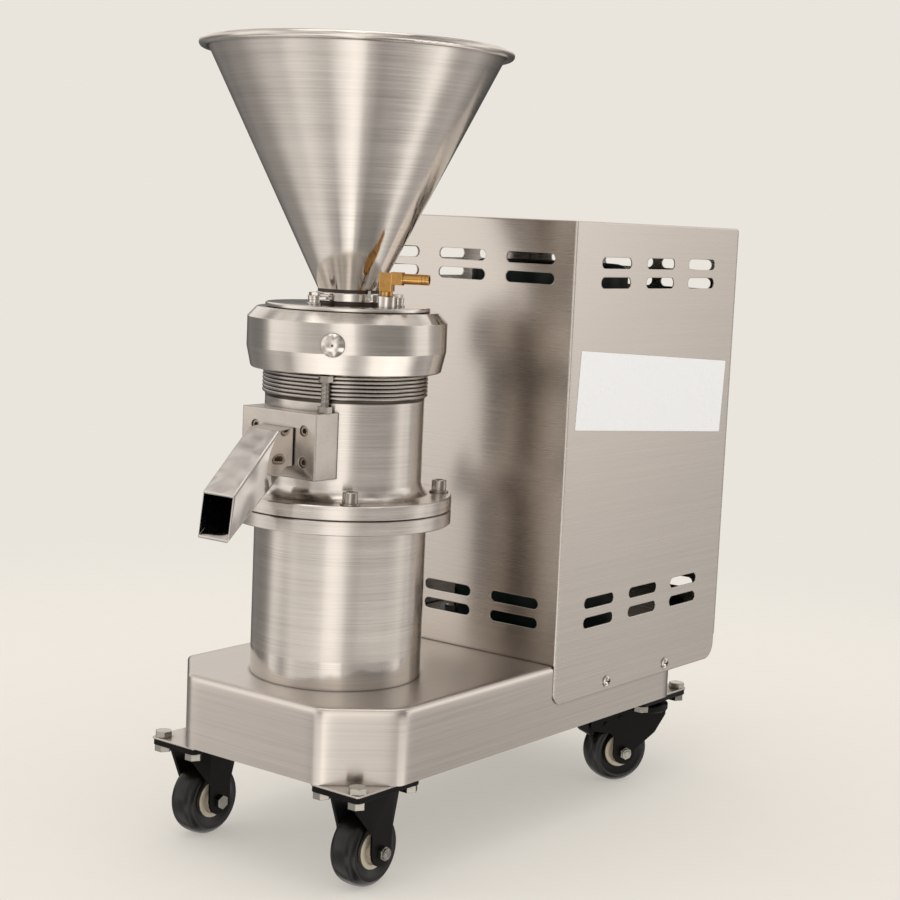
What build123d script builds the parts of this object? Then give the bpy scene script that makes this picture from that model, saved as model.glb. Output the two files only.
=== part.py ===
from build123d import *
import os
from math import sin, cos, tan, radians, pi, sqrt, atan2, degrees

os.makedirs("parts", exist_ok=True)

# ---------------------------------------------------------------- driving dimensions (mm)
# frame used while modelling: x = 0 on the mill axis, y = 0 at the base's front face, z = 0 on the floor
BASE_W = 298.0          # base box, across
BASE_L = 608.8          # base box, front to rear
BASE_CX = 59.0          # corner chamfer along x
BASE_CY = 57.1          # corner chamfer along y
BASE_Z0 = 106.3
BASE_Z1 = 182.75
BASE_T = 3.0
LIP_W = 20.0            # inward-turned bottom lip

PLATE_W = 62.0          # caster top plate, across
PLATE_L = 96.0
PLATE_X = 111.0         # plate centre, each side
PLATE_Y = 49.2          # plate centre from either end of the base
PLATE_Z0 = 98.6
PLATE_Z1 = 104.4
HOLE_DX = 45.0          # caster hole pattern
HOLE_DY = 78.0
BOLT_R = 5.0            # M10

WHEEL_R = 38.0
WHEEL_W = 31.0
RIM_R = 19.4
AXLE_R = 4.0
TRAIL = 35.5            # rear caster offset
SWIVEL_R = -28.0        # rest angle of the right rear caster, degrees
SWIVEL_L = -8.0         # rest angle of the left one

MILL_Y = 124.4          # mill axis
PED_R = 88.5
FLANGE_R = 113.4
Z_FL0 = 343.8           # underside of lower flange
Z_FL1 = 357.9           # top of lower flange
GASKET_T = 0.9
Z_FL2 = 373.0           # top of upper flange
BODY_R = 81.5
BODY_TOP = 534.0
BORE_R = 72.0
THREAD_R = 84.6
THREAD_P = 4.0
THREAD_Z0 = 473.0
PCD_FL = 202.0
FL_ANG = (-44.0, 46.0, 136.0, 226.0)

RING_Z0 = 498.1
RING_Z1 = 559.2
RING_R = 101.8
RING_BORE = 85.1
LIP_R = 78.4
COVER_R = 84.0
COVER_Z0 = 559.5
COVER_Z1 = 564.0
KNOB_A = -56.6
KNOB_Z = 528.2
KNOB_R = 11.5

HOP_R0 = 31.7           # hopper neck, outside
HOP_Z0 = 579.4
HOP_R1 = 148.4          # cone top, outside
HOP_Z1 = 815.0
HOP_T = 1.5
RIM_TUBE_R = 4.5
RIM_C_R = 153.2
RIM_C_Z = 817.6

BLOCK_HX = 49.5
BLOCK_Y = 26.5
BLOCK_Z0 = 395.5
BLOCK_Z1 = 461.0
BS_X = 32.5             # block screw positions
BS_Z = (412.4, 443.2)
CHUTE_X0 = -20.5
CHUTE_X1 = 21.5
CHUTE_T = 1.5
LIMIT_R = 91.6
LIMIT_A = -61.1

CAB_HX = 150.6          # cabinet cover, outside half width
CAB_Y0 = 309.7
CAB_Y1 = 650.0
CAB_Z1 = 658.3
CAB_ZS = 139.2          # bottom of the side panels
CAB_T = 1.5
REAR_T = 1.5

MOT_Y = 480.6
MOT_R = 99.0
FAN_R = 91.0
MOT_TOP = 611.0
RP_SP = 40.0            # spindle pulley pitch radius
RP_MO = 45.0            # motor pulley pitch radius
BELT_Z = (133.0, 149.0)

Y_MIN = -60.3           # chute mouth
Y_MAX = 669.5           # cable gland
YC = (Y_MIN + Y_MAX) / 2

NODES = []


def put(node, *shapes):
    """write a node: every solid of the given shapes, moved into the part's frame"""
    sol = []
    for s in shapes:
        sol += list(s.solids())
    sol = [Pos(0, -YC, 0) * s for s in sol]
    c = Compound(sol) if len(sol) > 1 else sol[0]
    export_step(c, f"parts/{node}.step")
    bb = c.bounding_box()
    NODES.append(node)
    print(f"{node:32s} {len(sol):3d} solids  vol {c.volume:12.1f}  z {bb.min.Z:8.2f} {bb.max.Z:8.2f}")


def box(x0, x1, y0, y1, z0, z1):
    return Pos((x0 + x1) / 2, (y0 + y1) / 2, (z0 + z1) / 2) * Box(x1 - x0, y1 - y0, z1 - z0)


def cyl(r, z0, z1, x=0.0, y=0.0):
    return Pos(x, y, (z0 + z1) / 2) * Cylinder(r, z1 - z0)


def tube(ro, ri, z0, z1, x=0.0, y=0.0):
    return cyl(ro, z0, z1, x, y) - cyl(ri, z0 - 1, z1 + 1, x, y)


def turned(pts, x=0.0, y=0.0):
    """solid of revolution about a vertical axis from (r, z) points"""
    f = make_face(Plane.XZ * Polyline(*[(a, b) for a, b in pts], close=True))
    return Pos(x, y, 0) * revolve(f, Axis.Z)


def hexa(af, z0, z1, x=0.0, y=0.0, rot=0.0):
    """hexagonal prism with chamfered top, as a nut or bolt head"""
    p = Pos(x, y, z0) * Rot(0, 0, rot) * extrude(RegularPolygon(af / 2, 6, major_radius=False), z1 - z0)
    c = turned([(0, z0 - 1), (af, z0 - 1), (af, z1 - 0.30 * (af / 2)), (af / 2 * 1.02, z1), (0, z1)], x, y)
    return p & c


def prism_x(pts, x0, x1):
    """polygon in (y, z), extruded from x0 to x1"""
    f = make_face(Plane.YZ * Polyline(*pts, close=True))
    return Pos(x0, 0, 0) * extrude(f, x1 - x0, dir=(1, 0, 0))


def prism_y(pts, y0, y1):
    f = make_face(Plane.XZ * Polyline(*pts, close=True))
    return Pos(0, y0, 0) * extrude(f, y1 - y0, dir=(0, 1, 0))


def cyl_x(r, x0, x1, y, z):
    return Pos((x0 + x1) / 2, y, z) * Rot(0, 90, 0) * Cylinder(r, x1 - x0)


def cyl_y(r, y0, y1, x, z):
    return Pos(x, (y0 + y1) / 2, z) * Rot(90, 0, 0) * Cylinder(r, y1 - y0)


def slot_x(y0, y1, z, r, x0, x1):
    """slot through a side wall: ends at y0 and y1 (end centres), along y"""
    return (box(x0, x1, y0, y1, z - r, z + r) + cyl_x(r, x0, x1, y0, z) + cyl_x(r, x0, x1, y1, z))


def slot_y(x0, x1, z, r, y0, y1):
    return (box(x0, x1, y0, y1, z - r, z + r) + cyl_y(r, y0, y1, x0, z) + cyl_y(r, y0, y1, x1, z))


def face_of(*parts):
    """face in the XZ plane from lines and arcs that join end to end"""
    e = []
    for q in parts:
        e += list(q.edges())
    return make_face(Plane.XZ * Wire(e))


def at(r, a, y=MILL_Y):
    return r * cos(radians(a)), y + r * sin(radians(a))


# ---------------------------------------------------------------- base
HW = BASE_W / 2


def octagon(o):
    """plan outline of the base, moved inwards by o"""
    # unit normal of the corner chamfer
    nx, ny = BASE_CY, BASE_CX
    n = sqrt(nx * nx + ny * ny)
    nx, ny = nx / n, ny / n
    # corner point on chamfer: line through (HW - CX, 0) and (HW, CY), moved in by o
    px, py = HW - BASE_CX - nx * o, 0 + ny * o
    dx, dy = BASE_CX, BASE_CY
    t1 = (o - py) / dy
    ax = px + dx * t1
    t2 = (HW - o - px) / dx
    by = py + dy * t2
    return [(-ax, o), (ax, o), (HW - o, by), (HW - o, BASE_L - by), (ax, BASE_L - o), (-ax, BASE_L - o),
            (-(HW - o), BASE_L - by), (-(HW - o), by)]


def octa(o, z0, z1):
    f = make_face(Polyline(*octagon(o), close=True))
    return Pos(0, 0, z0) * extrude(f, z1 - z0)


outer = octa(0, BASE_Z0, BASE_Z1)
vert = outer.edges().filter_by(Axis.Z)
outer = fillet(vert, 7.0)
outer = fillet(outer.edges().group_by(Axis.Z)[-1], 5.0)
inner = octa(BASE_T, BASE_Z0 + BASE_T, BASE_Z1 - BASE_T)
inner = fillet(inner.edges().filter_by(Axis.Z), 4.5)
inner = fillet(inner.edges().group_by(Axis.Z)[-1], 2.5)
mouth = octa(LIP_W, BASE_Z0 - 1, BASE_Z0 + BASE_T + 1)
base = outer - inner - mouth
base -= cyl(26, BASE_Z1 - 10, BASE_Z1 + 1, 0, MILL_Y)
base -= cyl(34, BASE_Z1 - 10, BASE_Z1 + 1, 0, MOT_Y)
corner_c = [(sx * PLATE_X, yy) for sx in (-1, 1) for yy in (PLATE_Y, BASE_L - PLATE_Y)]
bolt_pts = [(cx + dx * HOLE_DX / 2, cy + dy * HOLE_DY / 2) for cx, cy in corner_c for dx in (-1, 1) for dy in (-1, 1)]
for bx, by in bolt_pts:
    base -= cyl(5.5, BASE_Z0 - 2, BASE_Z0 + BASE_T + 2, bx, by)
# four motor flange bolts and four pedestal foot bolts pass the top sheet
MB_R = 97.0
for a in (45, 135, 225, 315):
    mx, my = at(MB_R, a, MOT_Y)
    base -= cyl(5.5, BASE_Z1 - 6, BASE_Z1 + 1, mx, my)
# two cover screws each side are threaded into the side walls
CS_Y = (413.2, 537.6)
CS_Z = 149.8
for sy in CS_Y:
    base -= cyl_x(3.0, -HW - 1, HW + 1, sy, CS_Z)
put("base_shell", base)

corner = []
for cx, cy in corner_c:
    p = box(cx - PLATE_W / 2, cx + PLATE_W / 2, cy - PLATE_L / 2, cy + PLATE_L / 2, PLATE_Z1, BASE_Z0)
    p = fillet(p.edges().filter_by(Axis.Z), 3.0)
    for bx, by in bolt_pts:
        if abs(bx - cx) < 40 and abs(by - cy) < 60:
            p -= cyl(5.5, PLATE_Z1 - 1, BASE_Z0 + 1, bx, by)
    corner.append(p)
put("corner_plates", *corner)

# ---------------------------------------------------------------- pedestal, bearings, spindle
ped = turned([(60, BASE_Z1), (PED_R, BASE_Z1), (PED_R, Z_FL0), (FLANGE_R - 0.8, Z_FL0), (FLANGE_R, Z_FL0 + 0.8),
              (FLANGE_R, Z_FL1 - 1.0), (FLANGE_R - 1.0, Z_FL1), (48.05, Z_FL1), (48.05, Z_FL0 - 2),
              (80, Z_FL0 - 2), (80, BASE_Z1 + 10), (60, BASE_Z1 + 10)], 0, MILL_Y)
for a in FL_ANG:
    bx, by = at(PCD_FL / 2, a)
    ped -= cyl(4.5, Z_FL0 - 1, Z_FL1 + 1, bx, by)
put("pedestal", ped)

cart = turned([(24, 215), (48, 215), (48, Z_FL1), (60, Z_FL1), (60, Z_FL1 + 9.5), (24, Z_FL1 + 9.5),
               (24, 352), (40, 352), (40, 222), (24, 222)], 0, MILL_Y)
put("bearing_cartridge", cart)
BR_Z = ((224.0, 242.0), (332.0, 350.0))
put("spindle_bearing_outer_rings", *[turned([(34, a), (39.3, a), (40, a + 0.7), (40, b - 0.7), (39.3, b), (34, b)], 0, MILL_Y) for a, b in BR_Z])
put("spindle_bearing_inner_rings", *[turned([(20, a + 0.7), (20.7, a), (26, a), (26, b), (20.7, b), (20, b - 0.7)], 0, MILL_Y) for a, b in BR_Z])

sp = turned([(0, 117), (14.2, 117), (15, 117.8), (15, 214), (20, 216), (20, 366), (17, 368), (17, 446), (14, 446),
             (14, 507), (9.2, 507), (9.2, 521), (8, 522), (0, 522)], 0, MILL_Y)
put("spindle", sp)


def pulley(rp, rb, z_lo, z_hi, x, y):
    ro = rp + 3.4
    p = turned([(rb, z_lo), (ro - 1, z_lo), (ro, z_lo + 1), (ro, z_hi - 1), (ro - 1, z_hi), (rb, z_hi)], x, y)
    for zb in BELT_Z:
        g = turned([(rp - 6.0, zb - 5.6), (ro + 1, zb - 6.9), (ro + 1, zb + 6.9), (rp - 6.0, zb + 5.6)], x, y)
        p -= g
    return p


put("spindle_pulley", pulley(RP_SP, 15.0, 122, 160, 0, MILL_Y))

# ---------------------------------------------------------------- mill body
gk = tube(FLANGE_R - 1.6, 62.5, Z_FL1, Z_FL1 + GASKET_T, 0, MILL_Y)
for a in FL_ANG:
    bx, by = at(PCD_FL / 2, a)
    gk -= cyl(5.4, Z_FL1 - 1, Z_FL1 + GASKET_T + 1, bx, by)
put("flange_gasket", gk)

Z_B0 = Z_FL1 + GASKET_T
z = THREAD_Z0
prof = []
lines = []
p_start = (62.5, Z_B0)
seq = [(FLANGE_R - 0.8, Z_B0), (FLANGE_R, Z_B0 + 0.8), (FLANGE_R, Z_FL2 - 1.2), (FLANGE_R - 1.2, Z_FL2), (90.6, Z_FL2)]
lines.append(Polyline(p_start, *seq))
lines.append(ThreePointArc((90.6, Z_FL2), (84.6, Z_FL2 + 4.2), (BODY_R, Z_FL2 + 12.0)))
lines.append(Polyline((BODY_R, Z_FL2 + 12.0), (BODY_R, THREAD_Z0 - 3.0), (BODY_R + 0.6, THREAD_Z0)))
n_cr = int((BODY_TOP - 1.0 - THREAD_Z0) / THREAD_P)
prev = (BODY_R + 0.6, THREAD_Z0)
for i in range(n_cr):
    za = THREAD_Z0 + i * THREAD_P
    nxt = (BODY_R + 0.6, za + THREAD_P)
    lines.append(ThreePointArc(prev, (THREAD_R, za + THREAD_P / 2), nxt))
    prev = nxt
lines.append(Polyline(prev, (BODY_R, BODY_TOP - 0.4), (BODY_R - 0.6, BODY_TOP), (BORE_R + 1.0, BODY_TOP), (BORE_R, BODY_TOP - 1.0),
                      (BORE_R, 393), (30.2, 393), (30.2, 380), (62.5, 380), p_start))
f = face_of(*lines)
body = Pos(0, MILL_Y, 0) * revolve(f, Axis.Z)
for a in FL_ANG:
    bx, by = at(PCD_FL / 2, a)
    body -= cyl(5.4, Z_B0 - 1, Z_FL2 + 1, bx, by)
OUT_X = 15.0
OUT_Z0, OUT_Z1 = 411.5, 441.5
body -= box(-OUT_X + 0.5, OUT_X + 0.5, MILL_Y - 95, MILL_Y - 50, OUT_Z0, OUT_Z1)
for sx in (-1, 1):
    for bz in BS_Z:
        body -= cyl_y(3.0, BLOCK_Y, BLOCK_Y + 31.0, sx * BS_X + 1.0, bz)
put("mill_body", body)

seal = turned([(17.08, 376), (26, 376), (26, 380), (30.2, 380), (30.2, 393), (27, 396), (17.08, 396)], 0, MILL_Y)
put("shaft_seal", seal)

bolts = []
for a in FL_ANG:
    bx, by = at(PCD_FL / 2, a)
    w = tube(9.8, 5.3, Z_FL2, Z_FL2 + 1.8, bx, by)
    h = turned([(0, Z_FL2 + 1.8), (7.7, Z_FL2 + 1.8), (7.7, Z_FL2 + 12.2), (6.9, Z_FL2 + 13.0), (0, Z_FL2 + 13.0)], bx, by)
    h += cyl(4.5, Z_FL0 + 1, Z_FL2 + 2, bx, by)
    sock = Pos(bx, by, Z_FL2 + 7.0) * Rot(0, 0, a) * extrude(RegularPolygon(4.0, 6, major_radius=False), 8)
    h -= sock
    bolts += [w, h]
put("flange_bolts", *bolts)

# ---------------------------------------------------------------- discharge block, chute
blk = box(-BLOCK_HX, BLOCK_HX, BLOCK_Y, MILL_Y - 50, BLOCK_Z0, BLOCK_Z1)
blk -= cyl(BODY_R, BLOCK_Z0 - 1, BLOCK_Z1 + 1, 0, MILL_Y)
blk = max(blk.solids(), key=lambda s: s.volume)
fr = [e for e in blk.edges() if abs(e.center().Y - BLOCK_Y) < 0.01]
blk = chamfer(fr, 0.8)
blk -= box(-OUT_X + 0.5, OUT_X + 0.5, BLOCK_Y - 5, MILL_Y - 40, OUT_Z0, OUT_Z1)
for sx in (-1, 1):
    for bz in BS_Z:
        xx = sx * BS_X + 1.0
        blk -= cyl_y(5.3, BLOCK_Y - 1, BLOCK_Y + 7.5, xx, bz)
        blk -= cyl_y(3.0, BLOCK_Y, BLOCK_Y + 32, xx, bz)
lx, ly = at(LIMIT_R, LIMIT_A)
blk -= cyl(4.0, BLOCK_Z1 - 14, BLOCK_Z1 + 1, lx, ly)
blk = max(blk.solids(), key=lambda s: s.volume)
put("discharge_block", blk)

bs = []
for sx in (-1, 1):
    for bz in BS_Z:
        xx = sx * BS_X + 1.0
        s = cyl_y(5.0, BLOCK_Y + 1.5, BLOCK_Y + 7.5, xx, bz) + cyl_y(3.0, BLOCK_Y + 7.4, BLOCK_Y + 30, xx, bz)
        hx = Pos(xx, BLOCK_Y + 1.0, bz) * Rot(-90, 0, 0) * extrude(RegularPolygon(2.5, 6, major_radius=False), 4.0)
        s -= hx
        bs.append(s)
put("block_screws", *bs)

CH = [(BLOCK_Y, 445.6), (4.8, 443.2), (-54.4, 385.5), (Y_MIN, 340.6), (19.6, 408.2), (BLOCK_Y, 408.2)]
ch_out = prism_x(CH, CHUTE_X0, CHUTE_X1)
ed = [e for e in ch_out.edges() if abs(e.center().X - 0.5) > 20 and e.length > 30]
ch_out = fillet(ed, 2.2)


def inset_path(pts, t):
    """polyline moved to its left by t (open path)"""
    segs = []
    for (x0, y0), (x1, y1) in zip(pts[:-1], pts[1:]):
        dx, dy = x1 - x0, y1 - y0
        n = sqrt(dx * dx + dy * dy)
        nx, ny = -dy / n, dx / n
        segs.append(((x0 + nx * t, y0 + ny * t), (x1 + nx * t, y1 + ny * t)))
    out = [segs[0][0]]
    for (a, b), (c, d) in zip(segs[:-1], segs[1:]):
        x1, y1, x2, y2 = *a, *b
        x3, y3, x4, y4 = *c, *d
        den = (x1 - x2) * (y3 - y4) - (y1 - y2) * (x3 - x4)
        px = ((x1 * y2 - y1 * x2) * (x3 - x4) - (x1 - x2) * (x3 * y4 - y3 * x4)) / den
        py = ((x1 * y2 - y1 * x2) * (y3 - y4) - (y1 - y2) * (x3 * y4 - y3 * x4)) / den
        out.append((px, py))
    out.append(segs[-1][1])
    return out


top_line = inset_path([(BLOCK_Y + 5, 446.15), (4.8, 443.2), (-54.4, 385.5), (-84.4, 356.3)], CHUTE_T)
bot_line = inset_path([(-100.3, 306.8), (19.6, 408.2), (BLOCK_Y + 5, 408.2)], CHUTE_T)
cav = prism_x(top_line + bot_line, CHUTE_X0 + CHUTE_T, CHUTE_X1 - CHUTE_T)
chute = ch_out - cav
put("discharge_chute", chute)

lim = cyl(4.0, BLOCK_Z1 - 14, RING_Z0 - 1.6, lx, ly)
lim = chamfer(lim.edges().group_by(Axis.Z)[-1], 0.8)
put("limit_screw", lim)
n1 = hexa(13.0, BLOCK_Z1, BLOCK_Z1 + 6.5, lx, ly, LIMIT_A + 30) - cyl(4.0, BLOCK_Z1 - 1, BLOCK_Z1 + 8, lx, ly)
n2 = hexa(13.0, RING_Z0 - 6.8, RING_Z0 - 0.4, lx, ly, LIMIT_A + 30) - cyl(4.0, RING_Z0 - 9, RING_Z0, lx, ly)
put("limit_screw_nuts", n1, n2)

# ---------------------------------------------------------------- adjusting ring and its pin
ring = turned([(RING_BORE, RING_Z0 + 0.8), (RING_BORE + 0.8, RING_Z0), (96.2, RING_Z0), (97.5, RING_Z0 + 1.2), (101.7, 518.8),
               (RING_R, 519.4), (RING_R, 549.0), (101.4, 549.6), (93.0, 558.7), (92.0, RING_Z1), (LIP_R, RING_Z1), (LIP_R, 551.0),
               (RING_BORE, 551.0)], 0, MILL_Y)
kx, ky = cos(radians(KNOB_A)), sin(radians(KNOB_A))


def radial_cyl(r, d0, d1, a, z):
    """cylinder lying along the radius at angle a, from radius d0 to d1"""
    x, y = at((d0 + d1) / 2, a)
    return Pos(x, y, z) * Rot(0, 0, a) * Rot(0, 90, 0) * Cylinder(r, d1 - d0)


ring -= radial_cyl(5.0, 90.0, 106.0, KNOB_A, KNOB_Z)
ring -= radial_cyl(KNOB_R + 0.2, RING_R - 0.8, 106.0, KNOB_A, KNOB_Z)
put("adjusting_ring", ring)

kp = Plane(origin=(*at(RING_R - 0.8, KNOB_A), KNOB_Z), x_dir=(-ky, kx, 0), z_dir=(kx, ky, 0))
pin = revolve(face_of(Polyline((0, -10.5), (5.0, -10.5), (5.0, 0), (KNOB_R, 0), (KNOB_R, 1.9)),
                      ThreePointArc((KNOB_R, 1.9), (KNOB_R * 0.62, 4.7), (0, 5.9)), Line((0, 5.9), (0, -10.5))), Axis.Z)
pin -= Pos(0, 0, 4.6) * Cone(0.3, 1.6, 1.8, align=(Align.CENTER, Align.CENTER, Align.MIN))
pin = pin.moved(kp.location)
put("ring_pin", pin)


# ---------------------------------------------------------------- stator side
hold = turned([(60, 452), (BORE_R - 1.3, 452), (BORE_R - 0.3, 453), (BORE_R - 0.3, 540), (COVER_R - 0.6, 540), (COVER_R, 540.6),
               (COVER_R, 550.6), (78.0, 550.6), (78.0, COVER_Z0), (30.2, COVER_Z0), (30.2, 548), (46, 524), (46, 503.5), (60, 503.5)], 0, MILL_Y)
hold -= turned([(52, 544), (74, 544), (74, 552), (52, 552)], 0, MILL_Y)
ex, ey = at(62.0, -12.0)
hold -= cyl(3.5, 550, COVER_Z0 + 1, ex, ey)
put("stator_holder", hold)

st = turned([(57.0, 452), (60, 452), (60, 503.5), (41.0, 503.5)], 0, MILL_Y)
for i in range(24):
    a = i * 15.0
    c = Pos(0, MILL_Y, 0) * Rot(0, 0, a) * (box(38, 56.5, -1.2, 1.2, 460, 510) & turned([(38, 455), (58.6, 455), (42.8, 505), (38, 505)]))
    st -= c
put("stator_ring", st)

ro = turned([(14, 452), (56.2, 452), (40.2, 503), (14, 503)], 0, MILL_Y)
for i in range(20):
    a = i * 18.0 + 4
    c = Pos(0, MILL_Y, 0) * Rot(0, 0, a) * (box(36, 60, -1.3, 1.3, 464, 512) - turned([(0, 455), (52.9, 455), (37.6, 512), (0, 512)]))
    ro -= c
put("grinding_rotor", ro)

nut = turned([(9.2, 503), (16, 503), (16, 506)] + [(15.0, 520), (11, 526), (0, 528), (0, 522), (9.2, 522)], 0, MILL_Y)
nut -= cyl(14.0, 502, 507, 0, MILL_Y)
nut = max(nut.solids(), key=lambda s: s.volume)
put("rotor_nut", nut)

cov = turned([(30.2, COVER_Z0), (COVER_R - 0.6, COVER_Z0), (COVER_R, COVER_Z0 + 0.6), (COVER_R, COVER_Z1 - 1.6),
              (COVER_R - 0.5, COVER_Z1 - 0.5), (COVER_R - 1.8, COVER_Z1), (30.2, COVER_Z1)], 0, MILL_Y)
boss_top = 575.6
cov += turned([(0, COVER_Z1 - 0.5), (9.5, COVER_Z1 - 0.5), (9.5, boss_top - 0.8), (8.7, boss_top), (0, boss_top)], ex, ey)
cov -= cyl(5.0, COVER_Z0 + 1.0, boss_top + 1, ex, ey)
cov -= cyl(3.5, COVER_Z0 - 1, COVER_Z1, ex, ey)
CL_ANG = (-90.0, 25.0, 145.0)
CL_R = 51.5
for a in CL_ANG:
    cx, cy = at(CL_R, a)
    cov -= cyl(3.0, COVER_Z0 - 1, COVER_Z1 + 1, cx, cy)
put("cover_plate", cov)

TH_R = 29.6
g1 = tube(31.6, TH_R, COVER_Z1, 567.0, 0, MILL_Y)
g2 = tube(31.5, TH_R, 576.0, HOP_Z0, 0, MILL_Y)
put("throat_gaskets", g1, g2)

cr = tube(33.0, TH_R, 567.0, 576.0, 0, MILL_Y)
cr = chamfer(cr.edges().filter_by(GeomType.CIRCLE).sort_by(SortBy.RADIUS)[-2:], 0.7)
for a in CL_ANG:
    cx, cy = at(CL_R, a)
    ear = Pos(0, MILL_Y, 0) * Rot(0, 0, a) * (box(31.2, CL_R, -6.5, 6.5, 569.0, 571.6) + cyl(6.5, 569.0, 571.6, CL_R, 0) + box(31.2, 36, -8.5, 8.5, 569.0, 573.5))
    cr += ear
cr -= cyl(TH_R, 560, 580, 0, MILL_Y)
for a in CL_ANG:
    cx, cy = at(CL_R, a)
    cr -= cyl(3.0, 560, 580, cx, cy)
# lifting hook on the near side of the ring
ha = -12.0
hk = Pos(0, MILL_Y, 0) * Rot(0, 0, ha) * (box(32.4, 34.6, -1.6, 1.6, 572.0, 579.0) + box(33.0, 36.6, -1.6, 1.6, 569.5, 572.5))
cr += hk
put("hopper_clamp_ring", cr)

cs = []
for a in CL_ANG:
    cx, cy = at(CL_R, a)
    w1 = turned([(3.0, COVER_Z1), (7.4, COVER_Z1), (7.4, COVER_Z1 + 1.4), (6.2, COVER_Z1 + 2.0), (6.2, 569.0), (3.0, 569.0)], cx, cy)
    w2 = tube(6.9, 3.0, 571.6, 572.8, cx, cy)
    hd = hexa(10.0, 572.8, 576.4, cx, cy, a + 12) + cyl(3.0, COVER_Z0, 574, cx, cy)
    cs += [w1, w2, hd]
put("clamp_screws", *cs)

# hopper: cone shell with a rolled rim
sl = (HOP_R1 - HOP_R0) / (HOP_Z1 - HOP_Z0)
th = HOP_T * sqrt(1 + sl * sl)
cone = turned([(TH_R, HOP_Z0), (HOP_R0, HOP_Z0), (HOP_R1, HOP_Z1), (HOP_R1 + 1.6, HOP_Z1 + 3.4), (HOP_R1 - 0.2, HOP_Z1 + 3.0),
               (HOP_R1 - th, HOP_Z1 + 0.2)], 0, MILL_Y)
rimf = Plane.XZ * Pos(RIM_C_R, RIM_C_Z) * (Circle(RIM_TUBE_R) - Circle(RIM_TUBE_R - 1.4))
rim = Pos(0, MILL_Y, 0) * revolve(rimf, Axis.Z)
hop = cone + rim
put("hopper", hop)

# ---------------------------------------------------------------- cooling hose elbow
EA = 27.0
EZ = 593.4
vert_leg = Pos(ex, ey, 0) * Rot(0, 0, EA) * box(-7, 7, -6.6, 6.6, 580.5, 598.8)
vert_leg = fillet(vert_leg.edges().filter_by(Axis.Z), 1.6)
el = vert_leg
el += turned([(0, 570.0), (5.0, 570.0), (5.0, boss_top), (6.2, boss_top), (6.2, 580.0), (6.6, 580.6), (0, 580.6)], ex, ey)
hl = Pos(ex, ey, 0) * Rot(0, 0, EA) * box(5, 16.4, -6.3, 6.3, EZ - 6.3, EZ + 6.3)
el += hl


def along(r, d0, d1):
    return Pos(ex, ey, EZ) * Rot(0, 0, EA) * Pos((d0 + d1) / 2, 0, 0) * Rot(0, 90, 0) * Cylinder(r, d1 - d0)


BARB_R = 5.35
el += along(6.6, 15.4, 17.0)
tail = turned([(0, 16.0), (BARB_R, 16.0), (BARB_R, 35.6), (BARB_R - 0.3, 35.6), (BARB_R - 0.3, 36.1), (BARB_R, 36.1), (BARB_R, 39.2), (BARB_R - 0.3, 39.2),
               (BARB_R - 0.3, 39.7), (BARB_R, 39.7), (BARB_R, 42.4), (BARB_R - 0.6, 43.0), (0, 43.0)])
el += Pos(ex, ey, EZ) * Rot(0, 0, EA) * Rot(0, 90, 0) * tail
el -= along(3.2, 0, 44)
el -= cyl(3.2, 569, EZ, ex, ey)
put("brass_elbow", el)

# ---------------------------------------------------------------- motor cabinet
oc = box(-CAB_HX, CAB_HX, CAB_Y0, CAB_Y1, CAB_ZS, CAB_Z1)
oc = fillet([e for e in oc.edges().filter_by(Axis.Z) if e.center().Y < CAB_Y0 + 1], 2.4)
oc = fillet([e for e in oc.edges().group_by(Axis.Z)[-1] if e.center().Y < CAB_Y1 - 1], 2.0)
ic = box(-CAB_HX + CAB_T, CAB_HX - CAB_T, CAB_Y0 + CAB_T, CAB_Y1 + 1, CAB_ZS - 1, CAB_Z1 - CAB_T)
cab = oc - ic
# front panel ends on the base's top
cab -= box(-CAB_HX + CAB_T, CAB_HX - CAB_T, CAB_Y0 - 1, CAB_Y0 + CAB_T + 1, CAB_ZS - 1, BASE_Z1 + 0.2)
# rounded lower corners of the side panels
RC = 18.0
rear_cut = prism_x([(CAB_Y1 - RC, CAB_ZS - 1), (CAB_Y1 + 1, CAB_ZS - 1), (CAB_Y1 + 1, CAB_ZS + RC), (CAB_Y1 - RC, CAB_ZS + RC)], -CAB_HX - 1, CAB_HX + 1)
rear_cut -= cyl_x(RC, -CAB_HX - 2, CAB_HX + 2, CAB_Y1 - RC, CAB_ZS + RC)
RF = 15.0
front_cut = prism_x([(CAB_Y0 - 1, CAB_ZS - 1), (CAB_Y0 + RF, CAB_ZS - 1), (CAB_Y0 + RF, CAB_ZS + RF), (CAB_Y0 - 1, CAB_ZS + RF)], -CAB_HX - 1, CAB_HX + 1)
front_cut -= cyl_x(RF, -CAB_HX - 2, CAB_HX + 2, CAB_Y0 + RF, CAB_ZS + RF)
cab = cab - rear_cut - front_cut
SR = 6.0
SIDE_Z = (615.0, 593.7, 244.3, 222.4)
FRONT_Z = (617.3, 596.4, 246.7, 225.2)
SIDE_L = 23.5
FRONT_L = 25.8
cuts = []
for zc in SIDE_Z:
    for yc in (MOT_Y - 90.5, MOT_Y, MOT_Y + 89.5):
        s = slot_x(yc - SIDE_L, yc + SIDE_L, zc, SR, -CAB_HX - 2, CAB_HX + 2)
        cuts.append(s)
for zc in FRONT_Z:
    for xc in (-91.0, 1.0, 92.5):
        cuts.append(slot_y(xc - FRONT_L, xc + FRONT_L, zc, SR, CAB_Y0 - 2, CAB_Y0 + 4))
for c in cuts:
    cab -= c
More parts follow.
